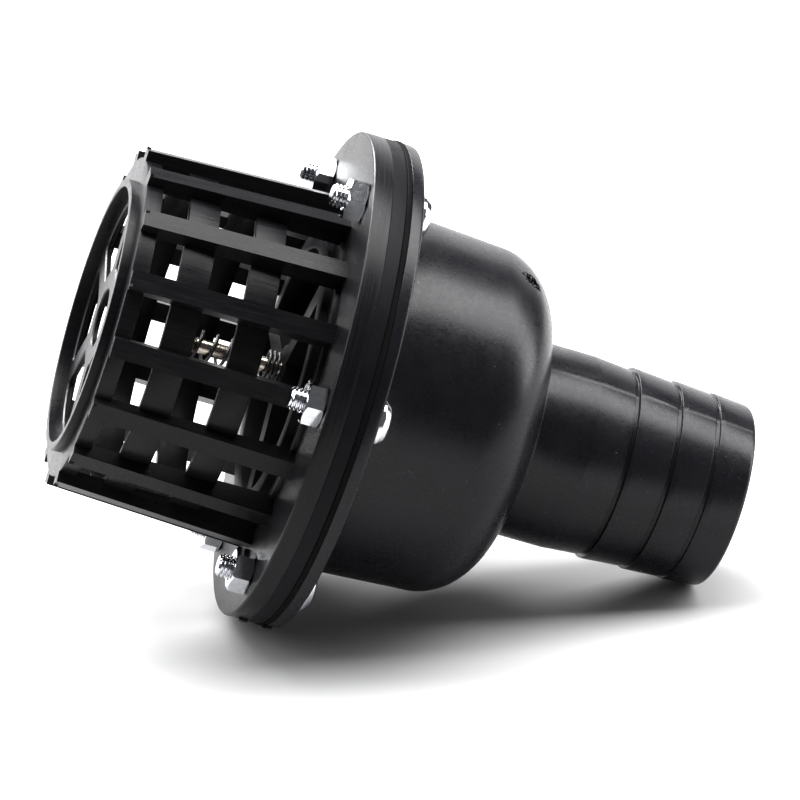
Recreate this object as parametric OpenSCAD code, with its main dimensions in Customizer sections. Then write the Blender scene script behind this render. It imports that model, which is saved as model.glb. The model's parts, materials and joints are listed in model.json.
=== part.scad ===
// Spring-loaded foot valve for a 50 mm suction hose, lying on its flange rim and its hose tail.
// Every sub-part is drawn about the valve's own axis: z = 0 is the front face of the strainer's
// flange, -z runs to the strainer's end plate and +z runs to the open end of the hose tail.
// lie_down() then sets the whole valve on the floor, with the strainer towards -X.

/* [Flanges] */
// Outside diameter of the flanges
flange_d = 128; // [124:0.5:136]
// Thickness of the strainer's flange
strainer_flange_t = 5; // [4:0.5:6]
// Thickness of the seat plate between the flanges
seat_plate_t = 3.8; // [3.4:0.2:5]
// Thickness of the rubber gasket
gasket_t = 1.3; // [1.2:0.1:2]
// Thickness of the body's flange
body_flange_t = 3.4; // [3:0.1:5]
// Diameter of the circle that the flange screws stand on
bolt_circle_d = 112; // [111:0.5:113]
// Turn of the first flange screw from the lowest point of the flange
bolt_phase = 18.7; // [0:0.1:60]

/* [Screws and nuts] */
// Thread diameter of the flange screws
screw_d = 6; // [5:1:6]
// Length of the flange screws under the head
screw_l = 22; // [20:1:25]
// Diameter of the pan heads
head_d = 12; // [11:0.5:12]
// Height of the pan heads
head_h = 3.6; // [3:0.1:4]
// Width across the flats of the flange nuts
nut_af = 10; // [9.5:0.5:10]
// Thickness of the flange nuts
nut_t = 5; // [4.6:0.1:5.2]

/* [Strainer] */
// Number of ribs round the cage
rib_count = 16; // [14:1:18]
// Turn of the first rib from the lowest point of the flange
rib_phase = 13; // [0:0.1:22.5]
// Width of a rib
rib_w = 4.9; // [4:0.1:6]
// Length of the cage from the flange to its end plate
cage_l = 52; // [50:0.5:56]
// Inside radius of the strainer's flange
port_r = 37.3; // [37:0.1:38]
// Inside radius of the cage
cage_r = 39.6; // [39:0.1:40]
// Wall of the hoops that join the ribs
hoop_t = 2.3; // [2:0.1:2.6]
// Radius over the ribs at the end plate
rib_tip_r = 44.4; // [43:0.1:46]
// Radius over the ribs at the flange
rib_root_r = 46.7; // [45:0.1:48]
// Depth of the collar at the flange
collar_l = 1.2; // [1:0.1:2]
// Distance from the flange to the first hoop
first_hoop_z = 15.3; // [14:0.1:16]
// Distance from the flange to the second hoop
second_hoop_z = 32.6; // [31:0.1:33.5]
// Width of the two hoops between the windows
hoop_w = 7.9; // [7:0.1:8.5]
// Depth of the cage's last hoop, with the end plate
end_hoop_w = 4.3; // [4:0.1:5]
// Thickness of the end plate
plate_t = 2.4; // [2:0.1:3]
// Outside radius of the raised ring on the end plate
ring_r = 35.6; // [34:0.1:36.5]
// Height of the raised ring above the end plate
ring_h = 2.3; // [1.5:0.1:3]

/* [Body] */
// Outside radius of the bowl at the flange
bowl_root_r = 47.4; // [47:0.1:48]
// Outside radius of the bowl where its shoulder starts
bowl_r = 45.7; // [45.2:0.1:46.5]
// Distance from the strainer's flange to the start of the shoulder
shoulder_z = 42.6; // [38:0.1:44]
// Length of the rounded shoulder
shoulder_l = 17.4; // [16:0.1:20]
// Inside radius of the bowl
bowl_bore_r = 43; // [42:0.1:43.5]
// Outside diameter of the plain neck behind the barbs
neck_d = 51.2; // [50:0.1:52]
// Bore of the hose tail
bore_d = 43; // [40:0.5:44]
// Distance from the strainer's flange to the open end of the hose tail
tail_z = 118; // [112:0.5:122]

/* [Valve disc] */
// Radius of the opening that the disc closes
seat_r = 32; // [30:0.5:33]
// Radius of the rubber seal
seal_r = 37.5; // [36:0.1:38]
// Thickness of the rubber seal
seal_t = 3; // [2:0.5:3]
// Diameter of the stem
stem_d = 4; // [3:0.5:4]
// Lift of the disc from closed to fully open
lift = 10; // [6:1:12]

/* [Return spring] */
// Wire diameter
wire_d = 0.9; // [0.7:0.1:1.1]
// Outside diameter of the coils
spring_d = 8.4; // [8:0.1:9]
// Installed length with the valve closed
spring_l = 24.8; // [22:0.1:26]
// Turns of the open stretch
open_turns = 4.9; // [4:0.1:6]
// Turns of the closed stretch at the guide
closed_turns = 3; // [2:0.5:4]

/* [Hidden] */
$fn = 96;
bolt_count = 6;
leg_count = 3;
leg_phase = 332.7;

// Flange stack along the valve's axis.
flange_r = flange_d / 2;
seat_z = strainer_flange_t;
gasket_z = seat_z + seat_plate_t;
body_z = gasket_z + gasket_t;
back_z = body_z + body_flange_t;
edge_r = 0.9;
hole_r = screw_d / 2 + 0.3;

// Hose tail: a plain neck and four barbs, each steep towards the bowl and sloping to the open end.
neck_r = neck_d / 2;
bore_r = bore_d / 2;
neck_z = shoulder_z + shoulder_l;
first_barb_z = 75;
barb_z = [84.5, 96.2, 106.7];
ridge_r = neck_r - 0.1;
valley_r = neck_r - 1.3;
groove_l = 1.1;
tip_r = 24.3;
tip_round = 1.4;

// Guide, seat and disc.
guide_z = -3.2;
guide_l = 6.2;
guide_r = 6.5;
guide_bore_r = stem_d / 2 + 0.08;
spigot_r = port_r - 0.4;
lip_h = 0.8;
lip_w = 2.6;
seal_z = gasket_z + lip_h;
disc_z = seal_z + seal_t;
disc_t = 3.2;
disc_r = seal_r - 1;
boss_r = 8;
boss_h = 4.2;
head_z = disc_z + disc_t + boss_h;
clamp_t = 1.5;
clamp_r = 26;
disc_nut_t = 3.2;
m4_af = 7;
m4_head_t = 2.8;
washer_t = 0.9;
washer_r = 5.5;
spring_end_z = guide_z - spring_l;
lock_nut_t = 4;
stem_tip = 0.9;
stem_end_z = spring_end_z - washer_t - lock_nut_t - stem_tip;

// Lie of the valve: the angle at which the flange's back edge and the tail's tip both touch the floor.
rest_dr = (flange_r - edge_r) - (tip_r - tip_round);
rest_dz = (tail_z - tip_round) - (back_z - edge_r);
lie = acos((tip_round - edge_r) / norm([rest_dr, rest_dz])) - atan2(rest_dz, rest_dr);
rest_z = (flange_r - edge_r) * cos(lie) + (back_z - edge_r) * sin(lie) + edge_r;
low_x = rib_tip_r * sin(lie) + cage_l * cos(lie);
high_x = (tip_r - tip_round) * sin(lie) + (tail_z - tip_round) * cos(lie) + tip_round;
rest_x = (low_x - high_x) / 2;

plastic = [0.12, 0.12, 0.13];
rubber = [0.06, 0.06, 0.06];
zinc = [0.78, 0.79, 0.8];
steel = [0.66, 0.66, 0.65];

// Sets the valve's axis down on the floor; the valve's own +x becomes its lowest side.
module lie_down() {
    translate([rest_x, 0, rest_z]) rotate([0, 90 + lie, 0]) children();
}

// Points of an elliptical arc, for outlines that are turned about the axis.
function arc(c, rx, ry, from, to, steps = 8) =
    [for (i = [0:steps]) let (a = from + (to - from) * i / steps) [c[0] + rx * cos(a), c[1] + ry * sin(a)]];

module round_about(count, phase) {
    for (i = [0:count - 1]) rotate([0, 0, phase + i * 360 / count]) children();
}

module tube(r_out, r_in, z, h) {
    rotate_extrude() translate([r_in, z]) square([r_out - r_in, h]);
}

module screw_holes(z, h) {
    round_about(bolt_count, bolt_phase) translate([bolt_circle_d / 2, 0, z - 1])
        cylinder(r = hole_r, h = h + 2, $fn = 32);
}

// A hexagonal nut or head standing on z, its corners eased at both ends.
module hexagon(af, z, h) {
    ease = 0.35;
    corner_r = af / 2 / cos(30);
    intersection() {
        translate([0, 0, z]) cylinder(r = corner_r, h = h, $fn = 6);
        rotate_extrude() polygon([
            [0, z], [corner_r - ease, z], [corner_r, z + ease / 2],
            [corner_r, z + h - ease / 2], [corner_r - ease, z + h], [0, z + h]
        ]);
    }
}

// ---- strainer: flange, ribs, hoops and end plate in one moulding ----
module cage_rib() {
    foot_r = cage_r + 1;
    rotate([90, 0, 0]) linear_extrude(rib_w, center = true)
        polygon([[foot_r, 1], [rib_root_r, 1], [rib_root_r, 0], [rib_tip_r, -cage_l], [foot_r, -cage_l]]);
}

module cage_hoops() {
    hoop_r = cage_r + hoop_t;
    tube(hoop_r, port_r, -collar_l, collar_l + 1);
    tube(hoop_r, cage_r, -first_hoop_z - hoop_w, hoop_w);
    tube(hoop_r, cage_r, -second_hoop_z - hoop_w, hoop_w);
    tube(hoop_r, cage_r, -cage_l + plate_t / 2, end_hoop_w - plate_t / 2);
}

module end_plate() {
    ring_w = 2.1;
    recess = 0.9;
    hub_hole_r = 7.6;
    hub_r = 13;
    rim_r = 31;
    spoke_w = 5.6;
    spokes = 6;
    difference() {
        union() {
            translate([0, 0, -cage_l]) cylinder(r = cage_r + hoop_t, h = plate_t);
            tube(ring_r, ring_r - ring_w, -cage_l - ring_h, ring_h + 1);
        }
        translate([0, 0, -cage_l - 1]) cylinder(r = ring_r - ring_w, h = 1 + recess);
        translate([0, 0, -cage_l - 1]) cylinder(r = hub_hole_r, h = plate_t + 2);
        difference() {
            tube(rim_r, hub_r, -cage_l - 1, plate_t + 2);
            round_about(spokes, -leg_phase + 315) translate([0, -spoke_w / 2, -cage_l - 2])
                cube([rim_r + 1, spoke_w, plate_t + 4]);
        }
    }
}

module strainer() {
    color(plastic) lie_down() difference() {
        union() {
            rotate_extrude() polygon(concat(
                [[port_r, 0]],
                arc([flange_r - edge_r, edge_r], edge_r, edge_r, -90, 0, 3),
                [[flange_r, strainer_flange_t], [port_r, strainer_flange_t]]
            ));
            cage_hoops();
            round_about(rib_count, rib_phase) cage_rib();
            end_plate();
        }
        screw_holes(0, strainer_flange_t);
    }
}

// ---- seat plate: middle flange with the seat, a three-legged guide and a locating spigot ----
module seat_plate() {
    leg_w = 6;
    color(plastic) lie_down() difference() {
        union() {
            tube(flange_r - 0.2, seat_r, seat_z, seat_plate_t);
            tube(spigot_r, seat_r, guide_z, seat_z - guide_z + 1);
            tube(seat_r + lip_w, seat_r, gasket_z - 1, lip_h + 1);
            translate([0, 0, guide_z]) cylinder(r = guide_r, h = guide_l);
            round_about(leg_count, leg_phase) translate([2, -leg_w / 2, guide_z])
                cube([seat_r, leg_w, guide_l]);
        }
        translate([0, 0, guide_z - 1]) cylinder(r = guide_bore_r, h = guide_l + 2);
        screw_holes(seat_z, seat_plate_t);
    }
}

module flange_gasket() {
    color(rubber) lie_down() difference() {
        tube(flange_r + 0.2, bowl_bore_r + 0.5, gasket_z, gasket_t);
        screw_holes(gasket_z, gasket_t);
    }
}

// ---- body: flange, bowl, neck and barbed hose tail in one moulding ----
function barb(start, end, top, foot) = [[top, start], [top, start + 1.2], [foot, end]];

function tail_outline() = concat(
    [[neck_r, first_barb_z], [valley_r + 0.5, barb_z[0]]],
    [for (i = [0:2]) each concat(
        [[valley_r, barb_z[i]], [valley_r, barb_z[i] + groove_l]],
        barb(barb_z[i] + groove_l, i < 2 ? barb_z[i + 1] : tail_z - tip_round,
             ridge_r - 0.3 * i, i < 2 ? valley_r + 0.5 - 0.1 * i : tip_r)
    )],
    arc([tip_r - tip_round, tail_z - tip_round], tip_round, tip_round, 15, 90, 4)
);

module valve_body() {
    wall_slope_z = shoulder_z - 2;
    inner_l = 15;
    color(plastic) lie_down() difference() {
        rotate_extrude($fn = 128) polygon(concat(
            [[bore_r, body_z], [flange_r, body_z]],
            arc([flange_r - edge_r, back_z - edge_r], edge_r, edge_r, 0, 90, 4),
            [[bowl_root_r + 1.2, back_z]],
            arc([bowl_root_r + 1.2, back_z + 1.2], 1.2, 1.2, 270, 180, 3),
            arc([neck_r, shoulder_z], bowl_r - neck_r, shoulder_l, 0, 84, 14),
            arc([neck_r + 1.6, neck_z + 1.2], 1.6, 1.4, 240, 180, 3),
            tail_outline(),
            [[bore_r, tail_z]]
        ));
        rotate_extrude($fn = 128) polygon(concat(
            [[0, body_z - 1], [bowl_bore_r, body_z - 1]],
            arc([bore_r, wall_slope_z], bowl_bore_r - bore_r, inner_l, 0, 90, 10),
            [[bore_r, tail_z + 1], [0, tail_z + 1]]
        ));
        screw_holes(body_z, body_flange_t);
    }
}

// ---- valve disc and what is clamped to it ----
module disc_seal() {
    color(rubber) lie_down() tube(seal_r, stem_d / 2 + 0.02, seal_z, seal_t);
}

module valve_disc() {
    rib_h = 2.4;
    color(plastic) lie_down() difference() {
        union() {
            translate([0, 0, disc_z]) cylinder(r = disc_r, h = disc_t);
            translate([0, 0, disc_z]) cylinder(r = boss_r, h = disc_t + boss_h);
            tube(disc_r, disc_r - 2, disc_z, disc_t + 1.5);
            round_about(6, 0) translate([boss_r - 1, -1, disc_z + 1]) cube([disc_r - boss_r, 2, disc_t + rib_h - 1]);
        }
        translate([0, 0, disc_z - 1]) cylinder(r = stem_d / 2 + 0.02, h = disc_t + boss_h + 2);
    }
}

module seal_clamp_plate() {
    color(plastic) lie_down() tube(clamp_r, stem_d / 2 + 0.02, seal_z - clamp_t, clamp_t);
}

module disc_nut() {
    z = seal_z - clamp_t - disc_nut_t;
    color(zinc) lie_down() difference() {
        hexagon(m4_af, z, disc_nut_t);
        translate([0, 0, z - 1]) cylinder(r = stem_d / 2 + 0.02, h = disc_nut_t + 2);
    }
}

module valve_stem() {
    color(steel) lie_down() {
        translate([0, 0, stem_end_z]) cylinder(r = stem_d / 2, h = head_z - stem_end_z + 0.5);
        hexagon(m4_af, head_z, m4_head_t);
    }
}

module spring_washer() {
    color(zinc) lie_down() tube(washer_r, stem_d / 2 + 0.02, spring_end_z - washer_t, washer_t);
}

module lock_nut() {
    z = spring_end_z - washer_t - lock_nut_t;
    color(zinc) lie_down() difference() {
        hexagon(m4_af, z, lock_nut_t);
        translate([0, 0, z - 1]) cylinder(r = stem_d / 2 + 0.02, h = lock_nut_t + 2);
    }
}

// ---- return spring: closed turns at the guide, an open stretch and one closed turn at the washer ----
// Height of the coil's centre line after so many turns from the guide.
function coil_height(turn) =
    let (
        closed_pitch = 1.3 * wire_d,
        end_turn = 1,
        closed_l = closed_turns * closed_pitch,
        free_l = spring_l - wire_d - closed_l - end_turn * closed_pitch
    )
    turn <= closed_turns ? turn * closed_pitch :
    turn <= closed_turns + open_turns ? closed_l + (turn - closed_turns) * free_l / open_turns :
    closed_l + free_l + (turn - closed_turns - open_turns) * closed_pitch;

module return_spring() {
    per_turn = 20;
    sides = 8;
    turns = closed_turns + open_turns + 1;
    rings = round(turns * per_turn);
    coil_r = (spring_d - wire_d) / 2;
    points = [
        for (i = [0:rings]) let (turn = i / per_turn, a = 360 * turn, z = guide_z - wire_d / 2 - coil_height(turn))
            for (k = [0:sides - 1]) let (b = 360 * k / sides, r = coil_r + wire_d / 2 * cos(b))
                [r * cos(a), r * sin(a), z + wire_d / 2 * sin(b)]
    ];
    skin = [
        for (i = [0:rings - 1]) for (k = [0:sides - 1]) let (n = (k + 1) % sides)
            [i * sides + k, i * sides + n, (i + 1) * sides + n, (i + 1) * sides + k]
    ];
    ends = [
        [for (k = [sides - 1:-1:0]) k],
        [for (k = [0:sides - 1]) rings * sides + k]
    ];
    color(steel) lie_down() polyhedron(points, concat(skin, ends));
}

// ---- flange screws and nuts ----
module at_screw(i) {
    lie_down() rotate([0, 0, bolt_phase + (i - 1) * 360 / bolt_count])
        translate([bolt_circle_d / 2, 0, 0]) children();
}

module flange_screw(i) {
    dome = 1.6;
    crown_r = 3.2;
    recess = [5.6, 1.3, 2.2];
    color(zinc) at_screw(i) difference() {
        union() {
            translate([0, 0, back_z - screw_l]) cylinder(r = screw_d / 2, h = screw_l + 0.5, $fn = 48);
            rotate_extrude($fn = 48) polygon(concat(
                [[0, back_z], [head_d / 2, back_z]],
                arc([head_d / 2 - crown_r, back_z + dome], crown_r, head_h - dome, 0, 90, 6),
                [[0, back_z + head_h]]
            ));
        }
        for (turn = [45, 135]) rotate([0, 0, turn])
            translate([-recess[0] / 2, -recess[1] / 2, back_z + head_h - recess[2]])
                cube([recess[0], recess[1], recess[2] + 1]);
    }
}

module flange_nut(i) {
    color(zinc) at_screw(i) difference() {
        rotate([0, 0, 7 * i]) hexagon(nut_af, -nut_t, nut_t);
        translate([0, 0, -nut_t - 1]) cylinder(r = screw_d / 2 + 0.02, h = nut_t + 2, $fn = 48);
    }
}

valve_body();
flange_gasket();
seat_plate();
strainer();
valve_disc();
disc_seal();
seal_clamp_plate();
disc_nut();
valve_stem();
return_spring();
spring_washer();
lock_nut();
for (i = [1:bolt_count]) {
    flange_screw(i);
    flange_nut(i);
}
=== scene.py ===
"""Foot valve: finishes, detailed pieces, floor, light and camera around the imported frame."""
import json
import math
import random

import bmesh
import bpy
from mathutils import Matrix, Vector


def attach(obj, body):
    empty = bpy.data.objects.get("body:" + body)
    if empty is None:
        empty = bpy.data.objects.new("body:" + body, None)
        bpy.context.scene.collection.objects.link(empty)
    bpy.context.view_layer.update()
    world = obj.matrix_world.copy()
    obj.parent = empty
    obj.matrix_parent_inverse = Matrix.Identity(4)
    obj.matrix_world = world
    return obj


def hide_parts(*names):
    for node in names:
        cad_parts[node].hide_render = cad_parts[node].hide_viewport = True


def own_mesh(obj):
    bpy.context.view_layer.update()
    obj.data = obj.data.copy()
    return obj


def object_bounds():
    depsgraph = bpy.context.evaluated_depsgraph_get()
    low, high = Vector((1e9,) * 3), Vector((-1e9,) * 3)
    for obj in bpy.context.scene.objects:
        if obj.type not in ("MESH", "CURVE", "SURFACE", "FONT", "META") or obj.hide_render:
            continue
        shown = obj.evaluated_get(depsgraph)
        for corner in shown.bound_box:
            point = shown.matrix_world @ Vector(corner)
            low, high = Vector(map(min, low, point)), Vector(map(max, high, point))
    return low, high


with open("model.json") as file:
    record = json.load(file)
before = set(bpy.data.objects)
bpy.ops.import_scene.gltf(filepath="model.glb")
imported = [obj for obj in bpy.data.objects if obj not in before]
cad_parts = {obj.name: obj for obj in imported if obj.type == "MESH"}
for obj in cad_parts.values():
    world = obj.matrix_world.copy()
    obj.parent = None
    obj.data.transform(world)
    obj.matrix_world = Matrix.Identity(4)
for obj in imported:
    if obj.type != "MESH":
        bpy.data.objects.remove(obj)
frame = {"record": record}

cad_low, cad_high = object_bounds()

MM = 0.001

# the valve's own frame
# Pieces are drawn in millimetres about the valve's axis: x points to the side it lies on, and
# z runs from the front of the strainer's flange (z = 0) to the open end of the hose tail.
MOUNTS = {mount["name"]: mount for mount in frame["record"]["mounts"]}
TAIL_BORE_Z = 100.0
AXIS = Vector(MOUNTS["tail_bore"]["axis"]).normalized()
START = Vector(MOUNTS["tail_bore"]["pos_m"]) - AXIS * TAIL_BORE_Z * MM
ACROSS = Vector((0, 1, 0))
DOWN = ACROSS.cross(AXIS)
PLACE = Matrix((
    (DOWN.x, ACROSS.x, AXIS.x, START.x),
    (DOWN.y, ACROSS.y, AXIS.y, START.y),
    (DOWN.z, ACROSS.z, AXIS.z, START.z),
    (0, 0, 0, 1),
)) @ Matrix.Scale(MM, 4)

HOUSING = "housing"
POPPET = "poppet"

# Sizes are in millimetres, as the CAD has them: places along the axis end in Z, radii in R,
# lengths in L, widths in W, heights in H and thicknesses in T.

# the three flanges, their screws and nuts
FLANGE_R = 64.0
STRAINER_FLANGE_T = 5.0
SEAT_Z = 5.0
GASKET_Z = 8.8
BODY_Z = 10.1
BACK_Z = 13.5
BOLT_CIRCLE_R = 56.0
BOLT_PHASE = 18.7
BOLTS = 6
SCREW_R = 3.0
SCREW_L = 22.0
SCREW_PITCH = 1.0
HEAD_R = 6.0
HEAD_H = 3.6
NUT_AF = 10.0
NUT_T = 5.0
HOLE_R = 3.3

# the strainer and its end plate
PORT_R = 37.3
CAGE_R = 39.6
HOOP_R = 41.9
RIB_FOOT_R = 40.6
CAGE_L = 52.0
RIBS = 16
RIB_PHASE = 13.0
RIB_W = 4.9
RIB_TIP_R = 44.4
RIB_ROOT_R = 46.7
COLLAR_L = 1.2
HOOPS = ((15.3, 23.2), (32.6, 40.5), (47.7, 50.8))
PLATE_T = 2.4
RING_R = 35.6
RING_T = 2.1
RING_H = 2.3
RECESS = 0.9
HUB_HOLE_R = 7.6
# the ports between the end plate's spokes, with their inner and outer radius
PORTS = 6
END_PORT_R = (13.0, 31.0)
SPOKE_W = 5.6

# the seat and the legs of its guide
SEAT_R = 32.0
SEAT_RIM_W = 2.6
SPIGOT_GAP = 0.4
LEGS = 3
LEG_W = 6.0
LEG_PHASE = 332.7
GUIDE_Z = -3.2
GUIDE_L = 6.2

# the body's bowl and tail
NECK_R = 25.6
BORE_R = 21.5
TAIL_Z = 118.0
BARB_Z = (84.5, 96.2, 106.7)
BARB_GROOVE_W = 1.1
RIDGE_R = NECK_R - 0.1
VALLEY_R = NECK_R - 1.3
NECK_END_Z = 75.0
TIP_R = 24.3
TIP_ROUND = 1.4
BOWL_FOOT_R = 47.4
BOWL_FOOT_Z = 15.2
BOWL_R = 45.7
BOWL_CAVITY_R = 43.0
SHOULDER_Z = 42.6
SHOULDER_L = 17.4
SEAM_PHASE = 204.5
# the gate's scar: its distance from the axis, place along it, turn round it and lean to the tail
GATE_R = 44.5
GATE_Z = 49.8
GATE_PHASE = 190.5
GATE_TILT = 26.7

# the disc with its seal and clamp plate
SEAL_R = 37.5
SEAL_Z = 9.6
SEAL_T = 3.0
DISC_Z = SEAL_Z + SEAL_T
DISC_T = 3.2
BOSS_R = 8.0
BOSS_H = 4.2
HEAD_Z = DISC_Z + DISC_T + BOSS_H
CLAMP_R = 26.0
CLAMP_T = 1.5

# the stem, its nuts, the spring and its washer
STEM_R = 2.0
STEM_HOLE_R = STEM_R + 0.02
STEM_NUT_BORE_R = STEM_R - 0.05
STEM_PITCH = 0.7
STEM_NUT_AF = 7.0
DISC_NUT_T = 3.2
WIRE_D = 0.9
SPRING_D = 8.4
SPRING_L = 24.8
SPRING_END_Z = GUIDE_Z - SPRING_L
WASHER_R = 5.5
WASHER_T = 0.9
LOCK_NUT_T = 4.0
STEM_PROUD = 0.9
STEM_END_Z = SPRING_END_Z - WASHER_T - LOCK_NUT_T - STEM_PROUD


# node materials
class Nodes:
    """A small builder for one material's node tree."""

    def __init__(self, name):
        self.material = bpy.data.materials.new(name)
        self.material.use_nodes = True
        self.tree = self.material.node_tree
        self.shader = self.tree.nodes["Principled BSDF"]
        self.place = self.add("ShaderNodeTexCoord").outputs["Object"]

    def add(self, kind, **values):
        node = self.tree.nodes.new(kind)
        for key, value in values.items():
            if hasattr(node, key):
                setattr(node, key, value)
            else:
                node.inputs[key.replace("_", " ")].default_value = value
        return node

    def link(self, source, target):
        self.tree.links.new(source, target)

    def fixed(self, **values):
        for key, value in values.items():
            self.shader.inputs[key.replace("_", " ")].default_value = value

    def stretched(self, along, across):
        """Object coordinates turned to the valve's axis, scaled along it and across it."""
        turn = self.add("ShaderNodeVectorRotate", rotation_type="Y_AXIS")
        turn.inputs["Angle"].default_value = -math.atan2(-AXIS.z, AXIS.x)
        self.link(self.place, turn.inputs["Vector"])
        scale = self.add("ShaderNodeVectorMath", operation="MULTIPLY")
        scale.inputs[1].default_value = (along, across, across)
        self.link(turn.outputs["Vector"], scale.inputs[0])
        return scale.outputs["Vector"]

    def past(self, z):
        """1 beyond this place along the valve's axis, in millimetres, and 0 before it."""
        along = self.add("ShaderNodeVectorMath", operation="DOT_PRODUCT")
        along.inputs[1].default_value = AXIS
        self.link(self.place, along.inputs[0])
        return self.math("GREATER_THAN", along.outputs["Value"], AXIS.dot(START) + z * MM)

    def pick(self, factor, first, second):
        """The first value where the factor is 0 and the second where it is 1."""
        node = self.add("ShaderNodeMix", data_type="FLOAT")
        for socket, value in zip(node.inputs[:1] + node.inputs[2:4], (factor, first, second)):
            self.link(value, socket)
        return node.outputs[0]

    def noise(self, scale, detail=3.0, roughness=0.5, place=None):
        node = self.add("ShaderNodeTexNoise", Scale=scale, Detail=detail, Roughness=roughness)
        self.link(place or self.place, node.inputs["Vector"])
        return node.outputs["Fac"]

    def spread(self, value, low, high, start=0.3, end=0.7):
        node = self.add("ShaderNodeMapRange")
        limits = {"From Min": start, "From Max": end, "To Min": low, "To Max": high}
        for key, number in limits.items():
            node.inputs[key].default_value = number
        self.link(value, node.inputs["Value"])
        return node.outputs["Result"]

    def mix(self, factor, first, second):
        node = self.add("ShaderNodeMix", data_type="RGBA")
        self.link(factor, node.inputs["Factor"])
        for socket, value in ((node.inputs["A"], first), (node.inputs["B"], second)):
            if isinstance(value, tuple):
                socket.default_value = (*value, 1.0)
            else:
                self.link(value, socket)
        return node.outputs["Result"]

    def math(self, operation, first, second):
        node = self.add("ShaderNodeMath", operation=operation)
        for socket, value in zip(node.inputs, (first, second)):
            if isinstance(value, (int, float)):
                socket.default_value = value
            else:
                self.link(value, socket)
        return node.outputs["Value"]

    def bump(self, height, distance, strength=1.0):
        node = self.add("ShaderNodeBump", Strength=strength, Distance=distance)
        self.link(height, node.inputs["Height"])
        self.link(node.outputs["Normal"], self.shader.inputs["Normal"])

    def set(self, name, value):
        self.link(value, self.shader.inputs[name])


def body_plastic():
    """Black moulded plastic, satin, with a fine mottled skin and a few pale specks."""
    m = Nodes("body_plastic")
    cloudy = m.noise(90, 4, 0.6)
    grain = m.noise(950, 3, 0.55)
    skin = m.noise(2600, 2, 0.5)
    specks = m.spread(m.noise(1300, 1, 0.4), 0.0, 1.0, 0.765, 0.785)
    black = m.mix(m.spread(cloudy, 0, 1), (0.0072, 0.0070, 0.0095), (0.0108, 0.0105, 0.0135))
    m.set("Base Color", m.mix(specks, black, (0.06, 0.06, 0.065)))
    m.set("Roughness", m.math("ADD", m.spread(cloudy, 0.22, 0.29), m.spread(grain, 0.0, 0.08)))
    m.fixed(IOR=1.5, Specular_IOR_Level=0.38)
    m.bump(m.math("ADD", grain, m.math("MULTIPLY", skin, 0.45)), 0.000045, 0.45)
    return m.material


def inner_plastic():
    """The dull black plastic of the pieces inside, as it leaves a plain mould."""
    m = Nodes("inner_plastic")
    cloudy = m.noise(110, 4, 0.6)
    grain = m.noise(1200, 3, 0.55)
    black = m.mix(m.spread(cloudy, 0, 1), (0.0060, 0.0058, 0.0078), (0.0100, 0.0096, 0.0120))
    m.set("Base Color", black)
    m.set("Roughness", m.math("ADD", m.spread(cloudy, 0.42, 0.50), m.spread(grain, 0.0, 0.08)))
    m.fixed(IOR=1.5, Specular_IOR_Level=0.16)
    m.bump(grain, 0.00006, 0.5)
    return m.material


def strainer_plastic():
    """Black moulded plastic, with flow streaks along the ribs and round the flange."""
    m = Nodes("strainer_plastic")
    along_ribs = m.noise(1.0, 4, 0.6, m.stretched(60, 1500))
    round_flange = m.noise(1.0, 4, 0.6, m.stretched(1900, 45))
    streaks = m.pick(m.past(0.0), along_ribs, round_flange)
    cloudy = m.noise(120, 4, 0.6)
    grain = m.noise(1400, 3, 0.5)
    dark = m.mix(m.spread(cloudy, 0, 1), (0.0055, 0.0054, 0.0070), (0.0090, 0.0088, 0.0105))
    m.set("Base Color", m.mix(m.spread(streaks, 0, 1, 0.45, 0.75), dark, (0.014, 0.0135, 0.0145)))
    m.set("Roughness", m.math("ADD", m.spread(streaks, 0.24, 0.36), m.spread(grain, 0.0, 0.06)))
    m.fixed(IOR=1.5, Specular_IOR_Level=0.27)
    m.bump(m.math("ADD", streaks, m.math("MULTIPLY", grain, 0.5)), 0.00007, 0.5)
    return m.material


def black_rubber(name, roughness):
    """Sheet rubber with a fine grain and a faint bloom."""
    m = Nodes(name)
    grain = m.noise(1800, 4, 0.6)
    bloom = m.noise(140, 3, 0.6)
    m.set("Base Color", m.mix(m.spread(bloom, 0, 1), (0.004, 0.004, 0.004), (0.008, 0.008, 0.0078)))
    m.set("Roughness", m.spread(grain, roughness - 0.06, roughness + 0.06))
    m.fixed(IOR=1.5, Specular_IOR_Level=0.1)
    m.bump(grain, 0.00008, 0.5)
    return m.material


def bright_zinc():
    """Bright zinc plate: a clear mirror with faint waves and slightly duller patches."""
    m = Nodes("bright_zinc")
    waves = m.noise(300, 2, 0.5)
    dull = m.noise(700, 4, 0.6)
    m.set("Base Color", m.mix(m.spread(dull, 0, 1), (0.70, 0.71, 0.73), (0.55, 0.56, 0.58)))
    m.set("Roughness", m.spread(dull, 0.07, 0.17))
    m.fixed(Metallic=1.0)
    m.bump(waves, 0.00004, 0.2)
    return m.material


def drawn_steel(name, light, dark, roughness, along, across):
    """Drawn or brushed steel, its fine lines along the valve's axis."""
    m = Nodes(name)
    lines = m.noise(1.0, 4, 0.65, m.stretched(along, across))
    m.set("Base Color", m.mix(m.spread(lines, 0, 1), dark, light))
    m.set("Roughness", m.spread(lines, roughness, roughness + 0.14))
    m.fixed(Metallic=1.0)
    m.bump(lines, 0.00002, 0.5)
    return m.material


BODY = body_plastic()
CAGE = strainer_plastic()
INNER = inner_plastic()
GASKET = black_rubber("black_rubber", 0.75)
SEAL = black_rubber("seal_rubber", 0.5)
ZINC = bright_zinc()
ROD = drawn_steel("stainless_rod", (0.74, 0.68, 0.60), (0.50, 0.45, 0.39), 0.16, 120, 5200)
WIRE = drawn_steel("spring_wire", (0.22, 0.22, 0.22), (0.11, 0.11, 0.11), 0.26, 900, 900)


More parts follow.
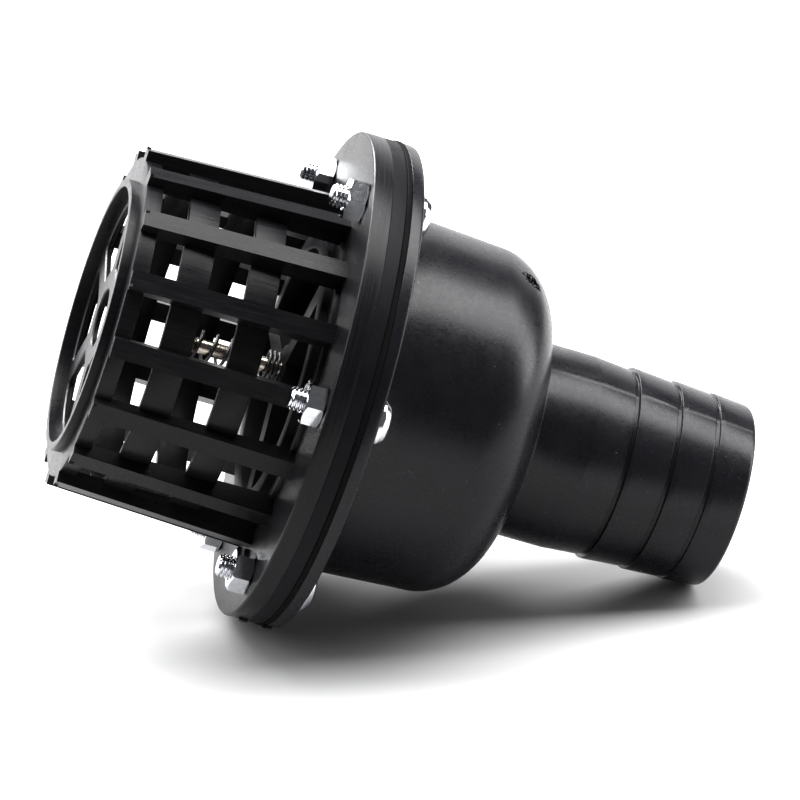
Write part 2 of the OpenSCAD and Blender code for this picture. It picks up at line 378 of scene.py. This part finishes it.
# mesh tools
def rounded(corners, steps=4):
    """Points of a closed outline; each corner is (r, z) or (r, z, fillet radius)."""
    points = []
    count = len(corners)
    for i, corner in enumerate(corners):
        here = Vector(corner[:2])
        radius = corner[2] if len(corner) > 2 else 0
        if not radius:
            points.append(here)
            continue
        to_last = (Vector(corners[i - 1][:2]) - here).normalized()
        to_next = (Vector(corners[(i + 1) % count][:2]) - here).normalized()
        half = to_last.angle(to_next) / 2
        reach = radius / math.tan(half)
        centre = here + (to_last + to_next).normalized() * radius / math.sin(half)
        first = here + to_last * reach - centre
        turn = math.pi - 2 * half
        side = 1 if to_last.x * to_next.y - to_last.y * to_next.x < 0 else -1
        for k in range(steps + 1):
            points.append(centre + Matrix.Rotation(side * turn * k / steps, 2) @ first)
    return points


def arc(centre, rx, rz, start, end, steps):
    """Corner points along an elliptical arc, in degrees."""
    angles = [math.radians(start + (end - start) * k / steps) for k in range(steps + 1)]
    return [(centre[0] + rx * math.cos(a), centre[1] + rz * math.sin(a)) for a in angles]


def skinned(bm, rings, loop=False):
    """Joins each ring of vertices to the next; a ring of one vertex is a point on the axis.

    With loop, the last ring is joined to the first. Without it, the end rings are closed.
    """
    pairs = list(zip(rings, rings[1:]))
    if loop:
        pairs.append((rings[-1], rings[0]))
    for low, high in pairs:
        count = max(len(low), len(high))
        for k in range(count):
            n = (k + 1) % count
            corners = [
                low[k % len(low)], low[n % len(low)], high[n % len(high)], high[k % len(high)]
            ]
            distinct = list(dict.fromkeys(corners))
            if len(distinct) > 2:
                bm.faces.new(distinct)
    if not loop:
        for end in (rings[0][::-1], rings[-1]):
            if len(end) > 2:
                bm.faces.new(end)
    bmesh.ops.recalc_face_normals(bm, faces=bm.faces)
    return bm


def lathe(outline, segments=160):
    """A closed outline of (r, z) turned about the axis; r = 0 ends close on the axis."""
    bm = bmesh.new()
    rings = []
    for r, z in outline:
        if r < 1e-6:
            rings.append([bm.verts.new((0, 0, z))])
            continue
        ring = []
        for k in range(segments):
            a = 2 * math.pi * k / segments
            ring.append(bm.verts.new((r * math.cos(a), r * math.sin(a), z)))
        rings.append(ring)
    return skinned(bm, rings, loop=True)


def prism(outline, low, high, ease=0.0, steps=2):
    """An (x, y) outline carried from z = low to z = high, every edge eased by a bevel."""
    bm = bmesh.new()
    floor = [bm.verts.new((x, y, low)) for x, y in outline]
    roof = [bm.verts.new((x, y, high)) for x, y in outline]
    bm.faces.new(floor[::-1])
    bm.faces.new(roof)
    for k in range(len(outline)):
        n = (k + 1) % len(outline)
        bm.faces.new((floor[k], floor[n], roof[n], roof[k]))
    if ease:
        sharp = [e for e in bm.edges if e.calc_face_angle(0) > math.radians(30)]
        bmesh.ops.bevel(bm, geom=sharp, offset=ease, segments=steps, affect="EDGES", profile=0.5)
    bmesh.ops.recalc_face_normals(bm, faces=bm.faces)
    return bm


def flared_prism(outline, levels):
    """A cutter: the same (x, y) outline at each (z, how much wider) level, closed at both ends."""
    bm = bmesh.new()
    count = len(outline)
    normals = []
    for k, here in enumerate(outline):
        before, after = Vector(outline[k - 1]), Vector(outline[(k + 1) % count])
        along = (after - before).normalized()
        normals.append(Vector((along.y, -along.x)))
    rings = []
    for z, wider in levels:
        ring = [Vector(p) + n * wider for p, n in zip(outline, normals)]
        rings.append([bm.verts.new((p.x, p.y, z)) for p in ring])
    return skinned(bm, rings)


def circle(radius, count):
    """An (x, y) outline for a prism."""
    angles = [2 * math.pi * k / count for k in range(count)]
    return [(radius * math.cos(a), radius * math.sin(a)) for a in angles]


def moved(bm, matrix):
    bmesh.ops.transform(bm, matrix=matrix, verts=bm.verts)
    return bm


def turned(bm, degrees):
    return moved(bm, Matrix.Rotation(math.radians(degrees), 4, "Z"))


def shifted(bm, x=0, z=0):
    return moved(bm, Matrix.Translation((x, 0, z)))


def on_edge(bm):
    """Stands a prism up: its outline's second number becomes the place along the axis."""
    return moved(bm, Matrix.Rotation(math.radians(90), 4, "X"))


def around(count, phase, make):
    """One solid for each place round the axis."""
    return [turned(make(), phase + 360 * i / count) for i in range(count)]


def together(parts):
    """Several solids as one mesh."""
    mesh = bpy.data.meshes.new("parts")
    whole = bmesh.new()
    for bm in parts:
        bm.to_mesh(mesh)
        bm.free()
        whole.from_mesh(mesh)
    bpy.data.meshes.remove(mesh)
    return whole


def as_object(name, bm):
    mesh = bpy.data.meshes.new(name)
    bm.to_mesh(mesh)
    bm.free()
    obj = bpy.data.objects.new(name, mesh)
    bpy.context.scene.collection.objects.link(obj)
    return obj


def carved(base, add=(), cut=()):
    """The base joined with the add solids, less the cut solids, as one closed mesh."""
    target = as_object("carving", base)
    spare = []
    for operation, parts in (("UNION", add), ("DIFFERENCE", cut)):
        if not parts:
            continue
        group = bpy.data.collections.new("tools")
        for bm in parts:
            tool = as_object("tool", bm)
            bpy.context.scene.collection.objects.unlink(tool)
            group.objects.link(tool)
            spare.append(tool)
        modifier = target.modifiers.new("carve", "BOOLEAN")
        modifier.operation = operation
        modifier.operand_type = "COLLECTION"
        modifier.collection = group
        modifier.solver = "EXACT"
    depsgraph = bpy.context.evaluated_depsgraph_get()
    mesh = bpy.data.meshes.new_from_object(target.evaluated_get(depsgraph))
    bm = bmesh.new()
    bm.from_mesh(mesh)
    bmesh.ops.remove_doubles(bm, verts=bm.verts, dist=0.002)
    bpy.data.meshes.remove(mesh)
    for obj in [target] + spare:
        bpy.data.objects.remove(obj)
    return bm


def piece(name, bm, material, body, smooth_below=32):
    """Sets a finished mesh down in the row frame, shades it, hangs it on its body and hides the CAD
    part of the same name.
    """
    moved(bm, PLACE)
    obj = as_object(name, bm)
    obj.data.materials.append(material)
    for face in obj.data.polygons:
        face.use_smooth = True
    obj.data.set_sharp_from_angle(angle=math.radians(smooth_below))
    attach(obj, body)
    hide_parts(name)
    return obj


# strainer
def strainer():
    ring_in = RING_R - RING_T
    front = -CAGE_L - RING_H
    face = -CAGE_L + RECESS
    back = -CAGE_L + PLATE_T
    inside_plate = PLATE_T / 2 - CAGE_L

    def hoop(inner, low, high):
        edge = 0.2
        return lathe(rounded([
            (inner, low, edge), (HOOP_R, low, edge), (HOOP_R, high, edge), (inner, high, edge)
        ], 2))

    def rib():
        into_flange = 1.0
        sides = [
            (RIB_FOOT_R, into_flange), (RIB_ROOT_R, into_flange),
            (RIB_TIP_R, -CAGE_L), (RIB_FOOT_R, -CAGE_L)
        ]
        return on_edge(prism(sides, -RIB_W / 2, RIB_W / 2, 0.3, 3))

    flange = lathe(rounded([
        (PORT_R, 0, 0.3), (FLANGE_R, 0, 0.7),
        (FLANGE_R, STRAINER_FLANGE_T, 0.15), (PORT_R, STRAINER_FLANGE_T)
    ], 4), 256)
    end_plate = lathe(rounded([
        (0, -CAGE_L), (HOOP_R, -CAGE_L, 0.25), (HOOP_R, back), (0, back)
    ], 2))
    end_ring = lathe(rounded([
        (ring_in, inside_plate), (ring_in, front, 0.2), (RING_R, front, 0.2), (RING_R, inside_plate)
    ], 3), 192)
    add = [hoop(PORT_R, -COLLAR_L, 1.5)]
    add += [hoop(CAGE_R, -end, -start) for start, end in HOOPS]
    add += around(RIBS, RIB_PHASE, rib)
    add += [end_plate, end_ring]
    add += rib_burrs()
    add.append(gate_nub(-26, 2.6, 4.9, FLANGE_R, 0.9))

    recess = lathe([(0, -CAGE_L - 3), (ring_in, -CAGE_L - 3), (ring_in, face), (0, face)], 192)
    levels = [(face - 1, 1.35), (face, 0.35), (face + 0.35, 0), (back, 0), (back + 1, 0.5)]
    cut = [recess, flared_prism(circle(HUB_HOLE_R, 60), levels)]
    first_port = 315 - LEG_PHASE + 30
    for i in range(PORTS):
        port = flared_prism(port_outline(*END_PORT_R, SPOKE_W, 2.2, 1.4), levels)
        cut.append(turned(port, first_port + 360 / PORTS * i))
    bm = carved(flange, add, cut + screw_holes(0, STRAINER_FLANGE_T))
    return piece("strainer", bm, CAGE, HOUSING)


def screw_holes(low, high):
    """Cutters for the clearance holes of the flange screws."""
    def cutter():
        hole = lathe([(0, low - 1), (HOLE_R, low - 1), (HOLE_R, high + 1), (0, high + 1)], 32)
        return shifted(hole, x=BOLT_CIRCLE_R)
    return around(BOLTS, BOLT_PHASE, cutter)


def gate_nub(degrees, low, high, radius, proud):
    """The torn stub of a moulding gate, standing a little proud of a flange's rim."""
    sides = [
        (radius - 2, -1.5), (radius + proud * 0.7, -1.3), (radius + proud, -0.2),
        (radius + proud * 0.6, 1.2), (radius - 2, 1.5)
    ]
    return turned(prism(sides, low, high, 0.25, 2), degrees)


def rib_burrs():
    """Small torn burrs of flash at the outer ends of the ribs, as the moulding has them."""
    draw = random.Random(7)
    burrs = []
    for i in range(RIBS):
        side = draw.choice((-1, 1)) * (RIB_W / 2 - draw.uniform(0.2, 0.9))
        high = draw.uniform(0.25, 0.6)
        long = draw.uniform(0.6, 1.6)
        deep = draw.uniform(0.6, 1.4)
        base = RIB_TIP_R - 0.4
        sides = [
            (base, side - long / 2), (RIB_TIP_R + high * 0.5, side - long / 4),
            (RIB_TIP_R + high, side + long / 8), (base, side + long / 2)
        ]
        burr = prism(sides, -CAGE_L + 0.02, -CAGE_L + deep, 0.06, 1)
        burrs.append(turned(burr, RIB_PHASE + 360 * i / RIBS))
    return burrs


def port_outline(inner, outer, bar, outer_corner, inner_corner):
    """A sixth of a ring between two bars of equal width, its corners eased, centred on +x."""
    def side_angle(r):
        return math.radians(180 / PORTS) - math.asin(bar / 2 / r)

    steps, inner_steps = 10, 4
    points = []
    for k in range(steps + 1):
        a = -side_angle(outer) + 2 * side_angle(outer) * k / steps
        corner = outer_corner if k in (0, steps) else 0
        points.append((outer * math.cos(a), outer * math.sin(a), corner))
    for k in range(inner_steps + 1):
        a = side_angle(inner) - 2 * side_angle(inner) * k / inner_steps
        corner = inner_corner if k in (0, inner_steps) else 0
        points.append((inner * math.cos(a), inner * math.sin(a), corner))
    return eased(points)


def eased(points):
    """An outline of (x, y, reach), each corner with a reach turned into a short curve."""
    outline = []
    steps = 4
    for i, (x, y, reach) in enumerate(points):
        here = Vector((x, y))
        if not reach:
            outline.append(tuple(here))
            continue
        last, after = Vector(points[i - 1][:2]), Vector(points[(i + 1) % len(points)][:2])
        start, end = (
            here + (other - here).normalized() * min(reach, (other - here).length * 0.8)
            for other in (last, after)
        )
        for k in range(steps + 1):
            t = k / steps
            outline.append(tuple(start * (1 - t) ** 2 + here * 2 * t * (1 - t) + end * t * t))
    return outline


# seat plate and gasket
def seat_plate():
    spigot_r = PORT_R - SPIGOT_GAP
    rim_r = FLANGE_R - 0.05
    guide_top = GUIDE_Z + GUIDE_L
    hub_r = 6.5
    bore_r = STEM_R + 0.08
    plate = lathe(rounded([
        (SEAT_R, GUIDE_Z, 0.4), (spigot_r, GUIDE_Z, 0.5), (spigot_r, SEAT_Z),
        (rim_r, SEAT_Z, 0.15), (rim_r, GASKET_Z, 0.3), (SEAT_R + SEAT_RIM_W, GASKET_Z),
        (SEAT_R + SEAT_RIM_W, SEAL_Z, 0.3), (SEAT_R, SEAL_Z, 0.4)
    ], 3), 256)

    def leg():
        near, far, half = 3, SEAT_R + 1, LEG_W / 2
        sides = [(near, -half), (far, -half), (far, half), (near, half)]
        return prism(sides, GUIDE_Z, guide_top, 0.6, 3)

    hub = lathe(rounded([
        (0, GUIDE_Z), (hub_r, GUIDE_Z, 0.6), (hub_r, guide_top, 0.6), (0, guide_top)
    ], 3), 64)
    bore = lathe([
        (0, GUIDE_Z - 1), (bore_r, GUIDE_Z - 1), (bore_r, guide_top + 1), (0, guide_top + 1)
    ], 48)
    add = [hub] + around(LEGS, LEG_PHASE, leg)
    bm = carved(plate, add, [bore] + screw_holes(SEAT_Z, GASKET_Z))
    return piece("seat_plate", bm, INNER, HOUSING)


def flange_gasket():
    outer = FLANGE_R + 0.2
    inner = 43.5
    ring = lathe(rounded([
        (inner, GASKET_Z), (outer, GASKET_Z, 0.3), (outer, BODY_Z, 0.3), (inner, BODY_Z)
    ], 3), 256)
    tab = gate_nub(-27, GASKET_Z + 0.05, BODY_Z - 0.05, outer, 0.8)
    bm = carved(ring, [tab], screw_holes(GASKET_Z, BODY_Z))
    return piece("flange_gasket", bm, GASKET, HOUSING)


# body
def body_outline():
    """Outside and inside of the body, from the gasket face round the rim to the bore and back."""
    narrowing = BOWL_FOOT_R - BOWL_R
    rise = SHOULDER_Z - BOWL_FOOT_Z
    neck_z = SHOULDER_Z + SHOULDER_L
    waist_r = VALLEY_R + 0.5
    corners = [
        (BOWL_CAVITY_R, BODY_Z, 0.3), (FLANGE_R, BODY_Z, 0.35),
        (FLANGE_R, BACK_Z, 0.9), (BOWL_FOOT_R + 0.9, BACK_Z, 1.0)
    ]
    for t in (0.03, 0.25, 0.5, 0.75):
        corners.append((BOWL_FOOT_R - narrowing * t, BOWL_FOOT_Z + rise * t))
    corners += arc((NECK_R, SHOULDER_Z), BOWL_R - NECK_R, SHOULDER_L, 0, 86, 26)
    corners += arc((NECK_R + 1.6, neck_z + 1.2), 1.6, 1.4, 245, 180, 4)
    # Points close to the neck's end keep its crease crisp.
    corners += [
        (NECK_R, 68), (NECK_R, NECK_END_Z - 0.3), (NECK_R, NECK_END_Z),
        (NECK_R - 0.03, NECK_END_Z + 0.3), (waist_r, BARB_Z[0], 0.15)
    ]
    for i, z in enumerate(BARB_Z):
        ridge_r = RIDGE_R - 0.3 * i
        ridge_z = z + BARB_GROOVE_W
        corners += [
            (VALLEY_R, z + 0.05, 0.1), (VALLEY_R, ridge_z, 0.1),
            (ridge_r, ridge_z + 0.1, 0.15), (ridge_r, ridge_z + 1.4, 1.0)
        ]
        if i + 1 < len(BARB_Z):
            corners.append((waist_r - 0.1 * i, BARB_Z[i + 1], 0.3))
    corners += [(TIP_R - 0.1, TAIL_Z, TIP_ROUND), (BORE_R, TAIL_Z, 0.5)]
    corners += arc((BORE_R, 40.6), BOWL_CAVITY_R - BORE_R, 15.0, 90, 0, 16)
    return rounded(corners, 4)


def parting_line(bm):
    """Raises a fine uneven line of flash along both sides of the tail, where the moulds met."""
    draw = random.Random(3)
    first_z, inside_r, half_width = 62, 23, 0.75
    for vert in bm.verts:
        r = math.hypot(vert.co.x, vert.co.y)
        if vert.co.z < first_z or r < inside_r:
            continue
        angle = math.degrees(math.atan2(vert.co.y, vert.co.x))
        off = abs((angle - SEAM_PHASE + 90) % 180 - 90)
        if off < half_width:
            vert.co.xy *= 1 + draw.uniform(0.05, 0.22) / r
    return bm


def gate_mark():
    """The scar of the mould's gate on the shoulder: a shallow crater with a torn floor."""
    draw = random.Random(11)
    half_along, half_across, deep = 3.6, 3.0, 1.7
    bm = bmesh.new()
    bmesh.ops.create_icosphere(bm, subdivisions=4, radius=1.0)
    for vert in bm.verts:
        rough = 1 + draw.uniform(-0.22, 0.22)
        x, y, z = vert.co
        vert.co = Vector((x * half_along * rough, y * half_across * rough, z * deep * rough))
    tilt = Matrix.Rotation(math.radians(90) - math.radians(GATE_TILT), 4, "Y")
    return turned(shifted(moved(bm, tilt), x=GATE_R, z=GATE_Z), GATE_PHASE)


def valve_body():
    shell = parting_line(lathe(body_outline(), 256))
    nub = gate_nub(-24, BODY_Z + 0.1, BODY_Z + 1.6, FLANGE_R, 0.7)
    bm = carved(shell, [nub], screw_holes(BODY_Z, BACK_Z) + [gate_mark()])
    return piece("valve_body", bm, BODY, HOUSING)


# screw threads, nuts and heads
def thread(radius, pitch, low, high, chamfer, segments=36, per_turn=8):
    """A solid rod with a true helical thread, its ends chamfered."""
    depth = 0.6 * pitch
    groove_width, flank_slope = 1.25, 2.75
    bm = bmesh.new()
    rows = max(2, round((high - low) / pitch * per_turn))
    rings = []
    for i in range(rows + 1):
        z = low + (high - low) * i / rows
        ring = []
        for k in range(segments):
            a = 2 * math.pi * k / segments
            phase = (z / pitch - k / segments) % 1.0
            groove = min(1.0, max(0.0, groove_width - flank_slope * abs(phase - 0.5)))
            r = radius - depth * groove
            r = min(r, radius - chamfer + (z - low), radius - chamfer + (high - z))
            ring.append(bm.verts.new((r * math.cos(a), r * math.sin(a), z)))
        rings.append(ring)
    return skinned(bm, rings)


def hexagon(across, low, high, bore=0.0, segments=96, flat_below=False):
    """A hexagon nut or head with the curved chamfers of a real one; a bore makes it a nut."""
    face_r = across / 2 * 0.96
    slope = math.tan(math.radians(30))
    ease = 0.35

    def wall(a):
        return across / 2 / math.cos((a + math.pi / 6) % (math.pi / 3) - math.pi / 6)

    def drop(a):
        return max(0.0, wall(a) - face_r) * slope

    if bore:
        start = [lambda a: (bore, low + ease), lambda a: (bore + ease, low)]
        end = [lambda a: (bore + ease, high), lambda a: (bore, high - ease)]
    else:
        start, end = [lambda a: (0, low)], [lambda a: (0, high)]
    if flat_below:
        start += [lambda a: (wall(a), low)]
    else:
        start += [lambda a: (face_r, low), lambda a: (wall(a), low + drop(a))]
    levels = start + [lambda a: (wall(a), high - drop(a)), lambda a: (face_r, high)] + end
    bm = bmesh.new()
    rings = []
    for level in levels:
        if level(0)[0] == 0:
            rings.append([bm.verts.new((0, 0, level(0)[1]))])
            continue
        ring = []
        for k in range(segments):
            a = 2 * math.pi * k / segments
            r, z = level(a)
            ring.append(bm.verts.new((r * math.cos(a), r * math.sin(a), z)))
        rings.append(ring)
    return skinned(bm, rings, loop=bool(bore))


def at_bolt(bm, number):
    return turned(shifted(bm, x=BOLT_CIRCLE_R), BOLT_PHASE + (number - 1) * 360 / BOLTS)


def flange_screw(number):
    """A pan-head screw with a cross recess; each one stands turned its own way."""
    top = BACK_Z + HEAD_H
    dome = lathe(rounded([
        (0, BACK_Z), (HEAD_R, BACK_Z, 0.15), (HEAD_R, BACK_Z + 1.2, 0.5),
        (HEAD_R - 1.0, BACK_Z + 2.8, 1.5), (HEAD_R - 3.0, top - 0.1, 2.8), (0, top)
    ], 4), 64)
    half_l, half_w, deep = 2.8, 0.6, 2.3
    arm = [(-half_l, -half_w), (half_l, -half_w), (half_l, half_w), (-half_l, half_w)]
    levels = [(top - deep, -0.25), (top - 0.6, 0.0), (top + 0.6, 0.2)]
    cross = [turned(flared_prism(arm, levels), turn + 23 * number) for turn in (45, 135)]
    cross.append(lathe([(0, top - 2.5), (1.1, top - 2.1), (1.5, top + 0.6), (0, top + 0.6)], 16))
    head = carved(dome, cut=cross)
    shank = thread(SCREW_R, SCREW_PITCH, BACK_Z - SCREW_L, BACK_Z + 0.6, 0.7, 48, 10)
    bm = at_bolt(together([head, turned(shank, 57 * number)]), number)
    return piece(f"flange_screw_{number}", bm, ZINC, HOUSING)


def flange_nut(number):
    nut = turned(hexagon(NUT_AF, -NUT_T, 0.0, bore=SCREW_R - 0.1), 7 * number)
    name = f"flange_nut_{number}"
    return piece(name, at_bolt(nut, number), ZINC, HOUSING, smooth_below=20)


# disc, seal, stem and spring
def disc_seal():
    ring = lathe(rounded([
        (STEM_HOLE_R, SEAL_Z), (SEAL_R, SEAL_Z, 0.5), (SEAL_R, DISC_Z, 0.5), (STEM_HOLE_R, DISC_Z)
    ], 4), 192)
    return piece("disc_seal", ring, SEAL, POPPET)


def valve_disc():
    disc_r = SEAL_R - 1
    rim_in = disc_r - 2
    top = DISC_Z + DISC_T
    rim_top = top + 1.5
    base = lathe(rounded([
        (STEM_HOLE_R, DISC_Z), (disc_r, DISC_Z, 0.4), (disc_r, rim_top, 0.5),
        (rim_in, rim_top, 0.5), (rim_in, top, 0.6), (BOSS_R, top, 0.8),
        (BOSS_R, HEAD_Z, 0.6), (STEM_HOLE_R, HEAD_Z)
    ], 4), 192)

    def web():
        inner, outer = BOSS_R - 1, disc_r - 1
        low = DISC_Z + 1
        sides = [(inner, low), (outer, low), (outer, top + 1.4), (inner, top + 2.4)]
        return on_edge(prism(sides, -1, 1, 0.4, 2))

    webs = around(6, 0, web)
    return piece("valve_disc", carved(base, webs), INNER, POPPET)


def seal_clamp_plate():
    low = SEAL_Z - CLAMP_T
    ring = lathe(rounded([
        (STEM_HOLE_R, low), (CLAMP_R, low, 0.3), (CLAMP_R, SEAL_Z, 0.1), (STEM_HOLE_R, SEAL_Z)
    ], 3), 128)
    return piece("seal_clamp_plate", ring, INNER, POPPET)


def disc_nut():
    high = SEAL_Z - CLAMP_T
    nut = hexagon(STEM_NUT_AF, high - DISC_NUT_T, high, bore=STEM_NUT_BORE_R)
    return piece("disc_nut", nut, ZINC, POPPET, smooth_below=20)


def lock_nut():
    high = SPRING_END_Z - WASHER_T
    low = high - LOCK_NUT_T
    collar_r, collar_top = 3.1, low + 1.3
    nut = turned(hexagon(STEM_NUT_AF, low + 1.2, high, bore=STEM_NUT_BORE_R), 20)
    collar = lathe(rounded([
        (STEM_NUT_BORE_R, low), (collar_r, low, 0.5),
        (collar_r, collar_top), (STEM_NUT_BORE_R, collar_top)
    ], 3), 48)
    bm = together([nut, collar])
    return piece("lock_nut", bm, ZINC, POPPET, smooth_below=20)


def spring_washer():
    low = SPRING_END_Z - WASHER_T
    ring = lathe(rounded([
        (STEM_HOLE_R, low, 0.1), (WASHER_R, low, 0.3),
        (WASHER_R, SPRING_END_Z, 0.1), (STEM_HOLE_R, SPRING_END_Z, 0.1)
    ], 3), 64)
    return piece("spring_washer", ring, ZINC, POPPET)


def valve_stem():
    threaded_to = SPRING_END_Z + 2.5
    rod_from, rod_to = threaded_to - 0.4, HEAD_Z + 0.5
    tip = thread(STEM_R, STEM_PITCH, STEM_END_Z, threaded_to, 0.45, 32)
    rod = lathe(rounded([
        (0, rod_from), (STEM_R, rod_from, 0.3), (STEM_R, rod_to), (0, rod_to)
    ], 3), 48)
    head = hexagon(STEM_NUT_AF, HEAD_Z, HEAD_Z + 2.8, flat_below=True)
    bm = together([tip, rod, head])
    return piece("valve_stem", bm, ROD, POPPET, smooth_below=20)


def coil_height(turn):
    """Height of the wire's centre above the guide after so many turns."""
    closed_turns, open_turns = 3, 4.9
    closed_pitch = 1.3 * WIRE_D
    closed_l = closed_turns * closed_pitch
    free_l = SPRING_L - WIRE_D - closed_l - closed_pitch
    if turn <= closed_turns:
        return turn * closed_pitch
    if turn <= closed_turns + open_turns:
        return closed_l + (turn - closed_turns) * free_l / open_turns
    return closed_l + free_l + (turn - closed_turns - open_turns) * closed_pitch


def return_spring():
    per_turn, sides, turns = 48, 14, 8.9
    soften = (-0.3, -0.15, 0, 0.15, 0.3)
    coil_r = (SPRING_D - WIRE_D) / 2
    wire_r = WIRE_D / 2
    steps = round(per_turn * turns)

    def centre(i):
        turn = i / per_turn
        # The change of pitch is softened over a third of a turn on both sides.
        heights = [coil_height(min(turns, max(0, turn + d))) for d in soften]
        height = sum(heights) / len(soften)
        a = 2 * math.pi * turn
        return Vector((coil_r * math.cos(a), coil_r * math.sin(a), GUIDE_Z - wire_r - height))

    bm = bmesh.new()
    rings = []
    for i in range(steps + 1):
        here = centre(i)
        along = (centre(i + 1) - centre(i - 1)).normalized()
        out = Vector((here.x, here.y, 0)).normalized()
        up = along.cross(out).normalized()
        out = up.cross(along)
        ring = []
        for k in range(sides):
            b = 2 * math.pi * k / sides
            ring.append(bm.verts.new(here + (out * math.cos(b) + up * math.sin(b)) * wire_r))
        rings.append(ring)
    coil = skinned(bm, rings)
    obj = piece("return_spring", coil, WIRE, HOUSING, smooth_below=50)
    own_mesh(obj)
    return obj


# floor, light and camera
def floor():
    m = Nodes("floor_card")
    cloudy = m.spread(m.noise(6, 2), 0, 1)
    m.set("Base Color", m.mix(cloudy, (0.54, 0.54, 0.545), (0.56, 0.56, 0.56)))
    m.fixed(Roughness=0.85, Specular_IOR_Level=0.2)
    bm = bmesh.new()
    bmesh.ops.create_circle(bm, cap_ends=True, segments=96, radius=6.0)
    obj = as_object("floor", bm)
    obj.data.materials.append(m.material)


def soft_box(name, place, target, size, power):
    """A rectangular area light at a place, facing its target."""
    data = bpy.data.lights.new(name, "AREA")
    data.shape = "RECTANGLE"
    data.size, data.size_y = size
    data.energy = power
    lamp = bpy.data.objects.new(name, data)
    lamp.location = place
    lamp.rotation_euler = (Vector(target) - Vector(place)).to_track_quat("-Z", "Y").to_euler()
    bpy.context.scene.collection.objects.link(lamp)


def light():
    """A long soft box overhead, a key from behind, three weak boxes round them and a dim room."""
    centre = (cad_low + cad_high) / 2
    above = Vector((centre.x + 0.45, centre.y + 0.09, centre.z))
    soft_box("overhead", above + Vector((0, 0, 1.0)), above, (2.5, 0.72), 38)
    soft_box("behind", (-0.6, 1.2, 0.95), (-0.2, 0.4, 0), (1.1, 0.6), 36)
    soft_box("backdrop", (centre.x, 1.9, 0.55), centre, (3.2, 1.1), 14)
    soft_box("left", (-1.2, 0.2, 0.8), centre, (0.7, 0.8), 9)
    soft_box("right", (1.6, 0.1, 0.5), centre, (0.75, 0.9), 12)
    world = bpy.data.worlds.new("studio")
    bpy.context.scene.world = world
    world.use_nodes = True
    room = world.node_tree.nodes["Background"]
    room.inputs["Color"].default_value = (0.95, 0.96, 1.0, 1)
    room.inputs["Strength"].default_value = 0.15
    film = bpy.context.scene.view_settings
    film.view_transform = "Standard"
    film.exposure = 0.4
    film.gamma = 0.8


# The view is a rough match of the photograph's: a long lens from 1.24 m, looking down 20 degrees.
AZIMUTH = 4.8
ELEVATION = 20.0
ROLL = -2.3
DISTANCE = 1.2356
LENS = 217.65
AIM_FROM_CENTRE = (0.0002, -0.0024, -0.0064)


def camera():
    """Stands where the photographer stood: raised, a little to one side, with a long lens."""
    azimuth, elevation, roll = math.radians(AZIMUTH), math.radians(ELEVATION), math.radians(ROLL)
    level = math.cos(elevation)
    away = Vector((math.sin(azimuth) * level, math.cos(azimuth) * level, -math.sin(elevation)))
    data = bpy.data.cameras.new("camera")
    data.lens = LENS
    data.clip_start, data.clip_end = 0.05, 20
    eye = (cad_low + cad_high) / 2 + Vector(AIM_FROM_CENTRE) - away * DISTANCE
    turn = away.to_track_quat("-Z", "Y").to_matrix().to_4x4()
    obj = bpy.data.objects.new("camera", data)
    obj.matrix_world = Matrix.Translation(eye) @ turn @ Matrix.Rotation(roll, 4, "Z")
    bpy.context.scene.collection.objects.link(obj)
    bpy.context.scene.camera = obj


camera()
light()
floor()
strainer()
seat_plate()
flange_gasket()
valve_body()
for number in range(1, BOLTS + 1):
    flange_screw(number)
    flange_nut(number)
disc_seal()
valve_disc()
seal_clamp_plate()
disc_nut()
lock_nut()
spring_washer()
valve_stem()
return_spring()
